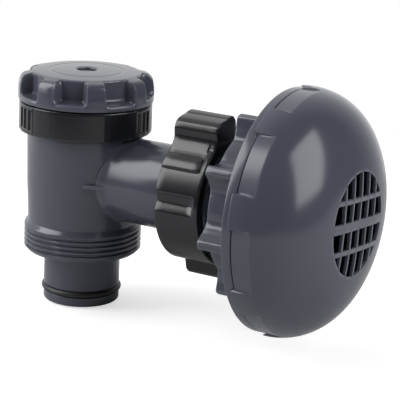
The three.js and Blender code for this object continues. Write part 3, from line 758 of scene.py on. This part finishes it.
def sidePort():
    # along counts out from the barrel's wall here, so that the fillet follows the joint
    b = body
    depth = 1.4  # how far its hidden end sits in the barrel's wall
    fillet = b["fillet"]
    flare = [
        (b["port"] + fillet - math.sqrt(max(fillet ** 2 - (fillet - d) ** 2, 0)), d)
        for d in (0, 0.05, 0.15, 0.3, 0.5, 0.75, 1.0)
    ]
    outline = [
        (b["portBore"] - 2, -depth), (b["port"] + fillet, -depth), *flare,
        *upright(b["port"], 1.0, 24.0, 1.6), (b["port"], 24.0),
        (b["port"], 26.0), (b["portBore"] - 2, 26.0),
    ]

    def fit(angle, across, along):
        # the port is narrower from side to side where it leaves the barrel
        y = across * math.sin(angle) * blend(b["portSquash"], 1.0, smoothStep(1.0, 22.0, along))
        z = across * math.cos(angle)
        wall = stemX + math.sqrt(barrelRadius(z) ** 2 - y ** 2)
        x = wall + along if along <= 1.0 else blend(wall + 1.0, -52.0, (along - 1.0) / 25.0)
        return math.atan2(y, z), math.hypot(y, z), x

    bm = reshape(spun(outline, "strainer", 160), "strainer", fit)
    collar = rounded([
        (b["portBore"] - 1, b["portEnd"], 0.3), (b["portCollar"], b["portEnd"], 0.4),
        (b["portCollar"], b["collarFace"], 0.4), (b["port"], b["collarFace"], 0.8),
        (b["port"], b["collarRoot"]), (b["portBore"] - 1, b["collarRoot"]),
    ])
    return carve(bm, [(spun(collar, "strainer", 160), "UNION")])


def portTool():
    b = body
    start, end = stemX + b["bore"] - 8, b["portEnd"] + 1.0
    wide = b["portBore"] + 0.4
    outline = [
        (0, start), (b["portBore"], start), (b["portBore"], end - 1.3),
        (wide, end - 1.0), (wide, end), (0, end),
    ]
    return spun(outline, "strainer", 128, closed=False)


finishPiece("valve_body", buildBody(), "grey_plastic", sharp=35)
print("valve body made")

# lock ring: plain black ring with three raised grips, each with three recesses

lockRing = {
    "radius": 33.7, "inner": 28.6, "bottom": 22.1, "top": 36.5, "under": 33.7, "hole": 20.0,
    "ease": 0.9, "facets": 68, "steps": 720,
    "grips": 3, "gripMiddle": 2.5, "gripHalf": 11.5, "gripRise": 0.3, "recessHalf": 2.6,
    "recessPitch": 7.6, "recessDepth": 0.75, "recessLow": 24.2, "recessHigh": 34.6,
}


def buildLockRing():
    r = lockRing
    wallTop, wallLow = r["top"] - 1.0, r["bottom"] + 1.0
    outline = rounded([
        (r["inner"], r["bottom"], 0.5), (r["radius"], r["bottom"], r["ease"]),
        *upright(r["radius"], wallLow, wallTop, 0.45),
        (r["radius"], r["top"], r["ease"]), (r["radius"] - 4, r["top"]), (r["hole"], r["top"], 0.4),
        (r["hole"], r["under"], 0.4), (r["inner"], r["under"], 0.3),
        *upright(r["inner"], r["under"] - 0.5, r["bottom"] + 0.8, 0.4),
    ])

    def grips(angle, across, along):
        facet = math.tau / r["facets"]
        off = abs((angle / facet) % 1.0 - 0.5) * facet
        if across > r["radius"] - 2:
            across += r["radius"] * (math.cos(facet / 2) / math.cos(facet / 2 - off) - 1) - r["gripRise"]
            off = abs(offMiddle(angle, r["gripMiddle"], r["grips"]))
            grip = 1 - smoothStep(r["gripHalf"] - 0.7, r["gripHalf"], off)
            nearest = abs(off - r["recessPitch"] * min(round(off / r["recessPitch"]), 1))
            recess = 1 - smoothStep(r["recessHalf"] - 0.5, r["recessHalf"] + 0.2, nearest)
            recess *= smoothStep(r["recessLow"] - 0.4, r["recessLow"] + 0.4, along)
            recess *= 1 - smoothStep(r["recessHigh"] - 0.4, r["recessHigh"] + 0.4, along)
            across += grip * (r["gripRise"] - recess * r["recessDepth"])
        elif abs(across - r["inner"]) < 0.01 and along < r["under"] - 0.2:
            across += 0.6 - helix(angle, along, r["bottom"] + 0.8, r["under"] - 1.0, body["topPitch"], 0.6)
        return angle, across, along

    finishPiece("lock_ring", reshape(spun(outline, "stem", r["steps"]), "stem", grips), "black_plastic")


buildLockRing()
print("lock ring made")

# knob: gently domed top, eight finger pockets open at the top, and a thin lip below

knob = {
    "radius": 34.0, "bottom": 37.2, "top": 52.5, "recess": 5.0, "recessFloor": 47.6,
    "screwHole": 2.2, "inner": 23.8, "under": 48.3, "hub": 10.5, "hubBottom": 41.5, "socket": 6.2,
    "socketTop": 45.2, "pockets": 8, "firstPocket": 20.3, "pocketHalf": 15.4, "pocketSide": 4.6,
    "pocketDepth": 6.8, "ledge": 40.6, "crown": 26.0, "ringMark": 18.2, "ringMarkDepth": 0.22,
    "steps": 640, "rows": 56,
}


def knobTop(radius):
    # the crown sinks slightly from the middle outwards
    return knob["top"] - 0.9 * (radius / knob["crown"]) ** 2


def buildKnob():
    k = knob
    edge = k["crown"]
    lobe = rounded([
        (edge, knobTop(edge)), (k["radius"] - 1.2, knobTop(edge) - 1.4, 4.6), (k["radius"], 44.0, 3.0),
        (k["radius"], k["ledge"] - 0.6), (k["radius"], k["ledge"] - 1.2),
    ], closed=False, steps=8)
    inner = k["radius"] - k["pocketDepth"]
    pocket = rounded([
        (edge, knobTop(edge)), (inner + 0.2, knobTop(edge) - 0.25, 0.8), (inner + 0.5, k["ledge"] + 0.4, 1.6),
        (k["radius"] - 0.5, k["ledge"] - 0.5, 0.8), (k["radius"], k["ledge"] - 1.2),
    ], closed=False, steps=6)
    lobe, pocket = evenly(lobe, k["rows"]), evenly(pocket, k["rows"])
    crown = [(radius, knobTop(radius)) for radius in [6.2 + (edge - 6.2) * n / 36 for n in range(36)]]
    outline = rounded([
        (k["screwHole"], k["socketTop"], 0.2), (k["screwHole"], k["recessFloor"], 0.2),
        (k["recess"], k["recessFloor"], 0.5), (k["recess"] + 0.1, k["top"] - 0.1, 0.7),
    ]) + crown
    first = len(outline)
    outline += lobe
    outline += rounded([
        (k["radius"], k["bottom"] + 0.9), (k["radius"] - 0.2, k["bottom"], 0.7),
        (k["inner"], k["bottom"], 0.5),
        (k["inner"], k["under"], 1.5), (k["hub"], k["under"], 1.5), (k["hub"], k["hubBottom"], 0.5),
        (k["socket"], k["hubBottom"], 0.4), (k["socket"], k["socketTop"], 0.3),
    ], closed=False)
    # the two shapes are paired vertex by vertex, so their seams are merged only afterwards
    bm = spun(outline, "stem", k["steps"], merge=False)
    pocketed = spun(outline[:first] + pocket + outline[first + k["rows"]:], "stem", k["steps"], merge=False)
    for vert, low in zip(bm.verts, pocketed.verts):
        angle, across, along = fromSpace("stem", vert.co)
        off = abs(offMiddle(angle, k["firstPocket"], k["pockets"]))
        share = 1 - smoothStep(k["pocketHalf"] - k["pocketSide"], k["pocketHalf"], off)
        vert.co = vert.co.lerp(low.co, share)
    pocketed.free()
    bmesh.ops.remove_doubles(bm, verts=bm.verts, dist=1e-6)

    def details(angle, across, along):
        if along > k["top"] - 1.2 and k["recess"] + 1 < across < k["crown"]:
            along -= k["ringMarkDepth"] * math.exp(-(((across - k["ringMark"]) / 0.45) ** 2))
        if abs(across - k["socket"]) < 0.5 and along < k["socketTop"] + 0.1:
            across *= math.cos(math.pi / 6) / math.cos((angle % (math.pi / 3)) - math.pi / 6)
        return angle, across, along

    finishPiece("knob", reshape(bm, "stem", details), "grey_plastic")


buildKnob()
print("knob made")

# plain turned pieces, each from its outline: washers, gaskets, bonnet, stem and plunger


def roundSection(middle, section, height):
    turns = [k * math.tau / 24 for k in range(24)]
    return [(middle + section / 2 * math.cos(turn), height + section / 2 * math.sin(turn)) for turn in turns]


def ribbedSheet(inner, outer, low, high, ribs):
    # a gasket with shallow grooves in its two faces
    pitch = (outer - inner) / (ribs + 1)
    face = []
    for n in range(1, ribs + 1):
        r = inner + n * pitch
        face += [(r - 0.6, 0.0), (r - 0.25, 0.22), (r + 0.25, 0.22), (r + 0.6, 0.0)]
    under = [(r, low + cut) for r, cut in face]
    over = [(r, high - cut) for r, cut in face[::-1]]
    return rounded([
        (inner, low, 0.3), *under, (outer, low, 0.4), (outer, high, 0.4), *over, (inner, high, 0.3),
    ])


turnedPieces = {
    "wall_gasket_inner": ("strainer", "rubber", ribbedSheet(27.7, 43.7, -1.5, -0.3, 3)),
    "wall_gasket_outer": ("strainer", "rubber", ribbedSheet(27.7, 43.7, -3.3, -2.1, 3)),
    "nut_slip_washer": ("strainer", "hard_washer", rounded([
        (27.7, -4.8, 0.25), (37, -4.8, 0.25), (37, -3.6, 0.25), (27.7, -3.6, 0.25)])),
    "union_step_washer": ("strainer", "rubber", rounded([
        (15.75, -44.7, 0.5), (26.9, -44.7, 0.5), (26.9, -42.7, 0.5), (18.15, -42.7, 0.3),
        (18.15, -37.9, 0.6), (15.75, -37.9, 0.6)])),
    "union_slip_ring": ("strainer", "hard_washer", rounded([
        (21.45, -49.3, 0.25), (26.9, -49.3, 0.25), (26.9, -48.0, 0.25), (21.45, -48.0, 0.25)])),
    "nipple_o_ring": ("stem", "rubber", roundSection(18.9, 3.0, -60.3)),
    "bonnet_o_ring": ("stem", "rubber", roundSection(23.9, 2.6, 25.6)),
    "stem_o_ring_lower": ("stem", "rubber", roundSection(7.3, 2.4, 27.7)),
    "stem_o_ring_upper": ("stem", "rubber", roundSection(7.3, 2.4, 33.7)),
    "gland_ring": ("stem", "hard_washer", rounded([
        (6.25, 39.1, 0.3), (8.5, 39.1, 0.3), (8.5, 40.9, 0.3), (6.25, 40.9, 0.3)])),
    "bonnet": ("stem", "grey_plastic", rounded([
        (6.25, 23.3, 0.3), (11, 23.3, 0.6), (11, 29.8, 0.8), (20.85, 29.8, 0.8), (20.85, 22.4, 0.4),
        (25.05, 22.4, 0.6), (25.05, 24.1, 0.2), (22.45, 24.1, 0.2), (22.45, 27.1, 0.2), (25.05, 27.1, 0.2),
        (25.05, 29.8, 0.2), (28.0, 29.8, 0.4), (28.0, 33.4, 0.5), (11, 33.4, 0.8), (11, 41.0, 0.5),
        (8.7, 41.0, 0.3), (8.7, 38.8, 0.2), (6.25, 38.8, 0.2), (6.25, 35.1), (8.7, 35.1), (8.7, 32.3),
        (6.25, 32.3), (6.25, 29.1), (8.7, 29.1), (8.7, 26.3), (6.25, 26.3)])),
    "knob_washer": ("stem", "steel", rounded([
        (2.2, 47.7, 0.15), (4.7, 47.7, 0.25), (4.7, 48.5, 0.25), (2.2, 48.5, 0.15)])),
    "plunger_seal": ("stem", "rubber", rounded([
        (11.3, -21.7, 0.4), (19.9, -21.7, 0.7), (19.9, -18.9, 0.6), (11.3, -18.9, 0.4)])),
    "seal_retainer": ("stem", "grey_plastic", rounded([
        (2.2, -24.2, 0.3), (13.8, -24.2, 0.7), (13.8, -22.0, 0.4), (11.0, -22.0, 0.2),
        (11.0, -18.9, 0.4), (2.2, -18.9, 0.3)])),
}
for node, (about, finish, outline) in turnedPieces.items():
    finishPiece(node, spun(outline, about, 128), finish)
print("turned pieces made")


# stem, the two screws, plunger and its clip, in mm
stemLook = {"radius": 6.0, "neck": 4.6, "hexReach": 5.75}
screws = {
    "knob_screw": {"seat": 48.8, "end": 34.8, "way": 1},
    "plunger_screw": {"seat": -24.5, "end": -15.0, "way": -1},
}
screwLook = {
    "head": 3.9, "rim": 0.7, "crown": 2.4, "crownTop": 2.9, "shank": 1.9, "pitch": 1.5, "thread": 0.3,
}
crossLook = {"long": 4.4, "wide": 1.0, "deep": 2.0}
plungerLook = {"outer": 21.5, "low": -18.6, "high": -8.6, "socket": 6.25, "socketFloor": -14.9, "hole": 2.1}
clipSlot = {"size": (30.3, 16.6, 2.0), "offset": -6.35, "height": -12.4}
clipLook = {"neck": 4.9, "outer": 7.8, "arms": 12.8, "low": -13.1, "high": -11.7, "soften": 0.25}


def block(about, size, middle, soften=0.0):
    bm = bmesh.new()
    made = bmesh.ops.create_cube(bm, size=1.0)["verts"]
    bmesh.ops.scale(bm, verts=made, vec=Vector(size) * mm)
    bmesh.ops.translate(bm, verts=made, vec=toSpace(about, 0, 0, 0) + Vector(middle) * mm)
    if soften:
        bmesh.ops.bevel(
            bm, geom=bm.edges[:], offset=soften * mm, offset_type="OFFSET",
            segments=3, profile=0.5, affect="EDGES", material=-1,
        )
    return bm


def buildStem():
    r, neck = stemLook["radius"], stemLook["neck"]
    walls = rounded([
        (0, -14.6), (r, -14.6, 0.8), (r, -13.4, 0.15), (neck, -13.4, 0.3),
        (neck, -11.4, 0.3), (r, -11.4, 0.15),
        (r, 41.0, 0.1), (r, 41.1), (r, 44.9, 0.5), (2.1, 44.9, 0.3), (2.1, 33.8), (0, 33.8)], closed=False)
    hexFlat = stemLook["hexReach"] * math.cos(math.pi / 6)

    def move(angle, across, along):
        if along < 41.05 or across < 3:
            return angle, across, along
        off = math.radians(offMiddle(angle, 30, 6))
        return angle, min(across, hexFlat / math.cos(off)), along

    return reshape(spun(walls, "stem", 144, closed=False), "stem", move)


def buildScrew(look):
    way, seat, shank = look["way"], look["seat"], screwLook["shank"]
    top, tip = seat + way * screwLook["crown"], look["end"] + way * 0.8
    head = rounded([
        (0, top), (screwLook["crownTop"], top, 0.5), (screwLook["head"], seat + way * screwLook["rim"], 0.4),
        (screwLook["head"], seat, 0.2), (shank, seat, 0.15), (shank, seat - way * 0.4)], closed=False)
    side = upright(shank, seat - way * 0.4, tip, 0.18)
    walls = [*head, *side, (shank - 0.6, look["end"]), (0, look["end"])]
    start, end = sorted((tip, seat - way * 0.8))

    def move(angle, across, along):
        if abs(across - shank) > 0.1 or across == 0:
            return angle, across, along
        cut = helix(angle, along, start, end, screwLook["pitch"], screwLook["thread"], 0.8)
        return angle, across - cut, along

    bm = reshape(spun(walls, "stem", 48, closed=False), "stem", move)
    long, wide, deep = crossLook["long"], crossLook["wide"], crossLook["deep"]
    bars = [(block("stem", (x, y, deep), (0, 0, top)), "DIFFERENCE") for x, y in ((long, wide), (wide, long))]
    return carve(bm, bars)


def buildPlungerHead():
    look = plungerLook
    outline = rounded([
        (look["hole"], look["low"], 0.3), (look["outer"], look["low"], 1.0),
        (look["outer"], look["high"], 1.2),
        (look["socket"], look["high"], 0.5), (look["socket"], look["socketFloor"], 0.2),
        (look["hole"], look["socketFloor"], 0.2)])
    x, y, z = clipSlot["size"]
    slot = block("stem", (x, y, z), (clipSlot["offset"], 0, clipSlot["height"]))
    return carve(spun(outline, "stem", 128), [(slot, "DIFFERENCE")])


def buildClip():
    # a flat U of sheet: two half rings joined to two straight arms, open towards -X
    look = clipLook
    steps = 24
    ring = []
    for radius, turn in ((look["outer"], 1), (look["neck"], -1)):
        bends = [math.pi * k / steps for k in range(steps + 1)]
        arc = [(radius * math.sin(bend), radius * math.cos(bend)) for bend in bends]
        line = [(-look["arms"], radius), *arc, (-look["arms"], -radius)]
        ring += line[::turn]
    bm = bmesh.new()
    centre = toSpace("stem", 0, 0, look["low"])
    verts = [bm.verts.new(centre + Vector((x, y, 0)) * mm) for x, y in ring]
    sheet = bm.faces.new(verts)
    rise = bmesh.ops.extrude_face_region(bm, geom=[sheet])["geom"]
    lifted = [part for part in rise if isinstance(part, bmesh.types.BMVert)]
    bmesh.ops.translate(bm, verts=lifted, vec=(0, 0, (look["high"] - look["low"]) * mm))
    flat = [e for e in bm.edges if len(e.link_faces) == 2 and e.calc_face_angle(0) > 1.2]
    bmesh.ops.recalc_face_normals(bm, faces=bm.faces)
    bmesh.ops.bevel(
        bm, geom=flat, offset=look["soften"] * mm, offset_type="OFFSET",
        segments=2, profile=0.5, affect="EDGES", material=-1,
    )
    return bm


finishPiece("stem", buildStem(), "grey_plastic")
for node, look in screws.items():
    finishPiece(node, buildScrew(look), "steel")
finishPiece("plunger_head", buildPlungerHead(), "grey_plastic")
finishPiece("stem_clip", buildClip(), "steel")
print("stem, plunger and screws made")

# camera, lights and floor

view = {
    "azimuth": 30.3, "elevation": 15.22, "roll": 2.54, "distance": 0.83996,
    "target": (-0.04582, 0.0, -0.00339), "lens": 154.82,
}
# two soft boxes to the left and right of the camera; azimuth runs from +X to +Y, in degrees
softBoxes = {
    "leftBox": {"azimuth": 216, "elevation": 32, "distance": 1.5, "size": (0.9, 1.4), "power": 20.0},
    "rightBox": {"azimuth": 4, "elevation": 31, "distance": 1.5, "size": (1.0, 1.35), "power": 18.0},
}
studio = {
    "floorSize": 0.9, "floorDrop": 0.0006, "floor": (0.62, 0.62, 0.62), "floorGlow": 0.62,
    "backAzimuth": 150, "backLight": 1.0, "frontLight": 0.05, "fade": (0.0, 0.6),
}


def addCamera():
    a, e, r = (math.radians(view[k]) for k in ("azimuth", "elevation", "roll"))
    back = Vector((math.sin(a) * math.cos(e), -math.cos(a) * math.cos(e), math.sin(e)))
    right = Vector((math.cos(a), math.sin(a), 0))
    up = back.cross(right)
    across = right * math.cos(r) + up * math.sin(r)
    above = up * math.cos(r) - right * math.sin(r)
    data = bpy.data.cameras.new("camera")
    data.lens = view["lens"]
    data.clip_start, data.clip_end = 0.01, 20
    camera = bpy.data.objects.new("camera", data)
    bpy.context.scene.collection.objects.link(camera)
    turn = Matrix((across, above, back)).transposed().to_4x4()
    camera.matrix_world = Matrix.Translation(Vector(view["target"]) + back * view["distance"]) @ turn
    bpy.context.scene.camera = camera


def addSoftBox(name, look):
    data = bpy.data.lights.new(name, "AREA")
    data.shape = "RECTANGLE"
    data.size, data.size_y = look["size"]
    data.energy = look["power"]
    lamp = bpy.data.objects.new(name, data)
    bpy.context.scene.collection.objects.link(lamp)
    a, e = math.radians(look["azimuth"]), math.radians(look["elevation"])
    way = Vector((math.cos(a) * math.cos(e), math.sin(a) * math.cos(e), math.sin(e)))
    lamp.location = Vector(view["target"]) + way * look["distance"]
    lamp.rotation_euler = way.to_track_quat("Z", "Y").to_euler()


def addFloor():
    bm = bmesh.new()
    bmesh.ops.create_grid(bm, x_segments=2, y_segments=2, size=studio["floorSize"] / 2)
    bmesh.ops.translate(bm, verts=bm.verts, vec=(0, 0, cadLow.z - studio["floorDrop"]))
    mesh = bpy.data.meshes.new("floor")
    bm.to_mesh(mesh)
    bm.free()
    material = bpy.data.materials.new("paleFloor")
    material.use_nodes = True
    nodes, links = material.node_tree.nodes, material.node_tree.links
    shader = nodes["Principled BSDF"]
    shader.inputs["Base Color"].default_value = (*studio["floor"], 1)
    shader.inputs["Roughness"].default_value = 0.9
    shader.inputs["Emission Color"].default_value = (1, 1, 1, 1)
    seen, glow = nodes.new("ShaderNodeLightPath"), nodes.new("ShaderNodeMath")
    glow.operation = "MULTIPLY"
    glow.inputs[1].default_value = studio["floorGlow"]
    links.new(seen.outputs["Is Camera Ray"], glow.inputs[0])
    links.new(glow.outputs["Value"], shader.inputs["Emission Strength"])
    mesh.materials.append(material)
    floor = bpy.data.objects.new("floor", mesh)
    bpy.context.scene.collection.objects.link(floor)


def addSky():
    # a white studio behind the object and a dark one in front; seen directly it is white all round
    world = bpy.data.worlds.new("studio")
    world.use_nodes = True
    nodes, links = world.node_tree.nodes, world.node_tree.links
    place, toBack = nodes.new("ShaderNodeTexCoord"), nodes.new("ShaderNodeVectorMath")
    shade = nodes.new("ShaderNodeMapRange")
    toBack.operation = "DOT_PRODUCT"
    azimuth = math.radians(studio["backAzimuth"])
    toBack.inputs[1].default_value = (math.cos(azimuth), math.sin(azimuth), 0)
    links.new(place.outputs["Generated"], toBack.inputs[0])
    shade.inputs["From Min"].default_value = studio["fade"][0]
    shade.inputs["From Max"].default_value = studio["fade"][1]
    shade.inputs["To Min"].default_value = studio["frontLight"]
    shade.inputs["To Max"].default_value = studio["backLight"]
    links.new(toBack.outputs["Value"], shade.inputs["Value"])
    seen, pick = nodes.new("ShaderNodeLightPath"), nodes.new("ShaderNodeMix")
    links.new(seen.outputs["Is Camera Ray"], pick.inputs["Factor"])
    links.new(shade.outputs["Result"], pick.inputs["A"])
    pick.inputs["B"].default_value = 1.0
    sky = nodes["Background"]
    sky.inputs["Color"].default_value = (1, 1, 1, 1)
    links.new(pick.outputs["Result"], sky.inputs["Strength"])
    bpy.context.scene.world = world


addCamera()
for name, look in softBoxes.items():
    addSoftBox(name, look)
addFloor()
addSky()
bpy.context.scene.view_settings.view_transform = "Standard"
print("camera and lights placed")
